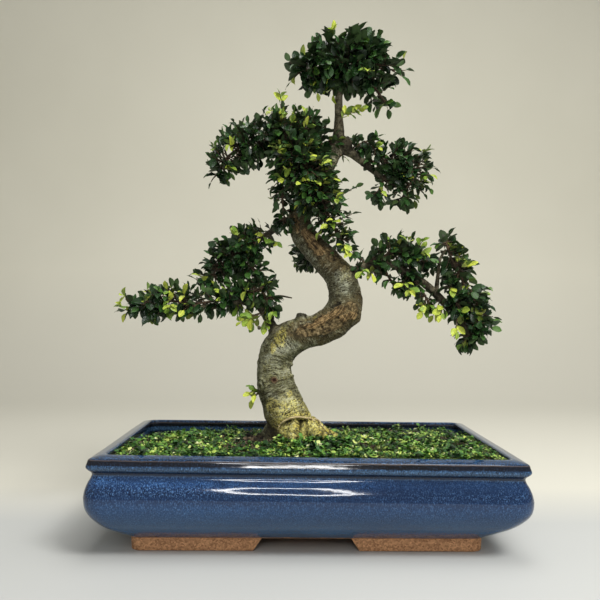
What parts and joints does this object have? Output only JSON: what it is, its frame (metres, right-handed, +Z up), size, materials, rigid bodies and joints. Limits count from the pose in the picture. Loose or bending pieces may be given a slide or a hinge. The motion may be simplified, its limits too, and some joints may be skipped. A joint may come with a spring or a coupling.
{
  "type": "chinese elm bonsai",
  "caption": "S-curved Chinese elm bonsai with layered leafy pads and flaring roots, growing from a moss-covered soil bed in a low rectangular glazed pot on notched feet.",
  "frame": {"origin": "on the ground under the middle of the pot, at the bottom centre of the bounding box", "axes": "+Z up, +X along the pot's long side to the right seen from the front, -Y towards the front that the picture shows"},
  "size_m": [0.3926, 0.2476, 0.5175],
  "materials": {
    "pot_glaze": "glossy mottled blue glaze that breaks to brown at the rim, bare terracotta feet",
    "screen_mesh": "matte",
    "soil_mix": "rough granules",
    "moss": "fuzzy",
    "bark": "rough bark with lenticels and a bare wood scar",
    "foliage": "semi-gloss leaves",
    "young_foliage": "semi-gloss leaves"
  },
  "bodies": {
    "root": {"pot": "pot_glaze", "drain_screen_left": "screen_mesh", "drain_screen_right": "screen_mesh", "soil": "soil_mix", "moss_mat": "moss", "trunk": "bark", "apex_head": "foliage", "crown": "foliage", "right_upper_pad": "foliage", "left_middle_pad": "foliage", "left_lower_pad": "foliage", "right_inner_pad": "foliage", "right_outer_pad": "foliage", "rear_pad": "foliage", "left_shoot": "young_foliage", "right_shoot": "young_foliage", "trunk_sprout": "young_foliage", "leader_shoot": "young_foliage"}
  },
  "joints": []
}
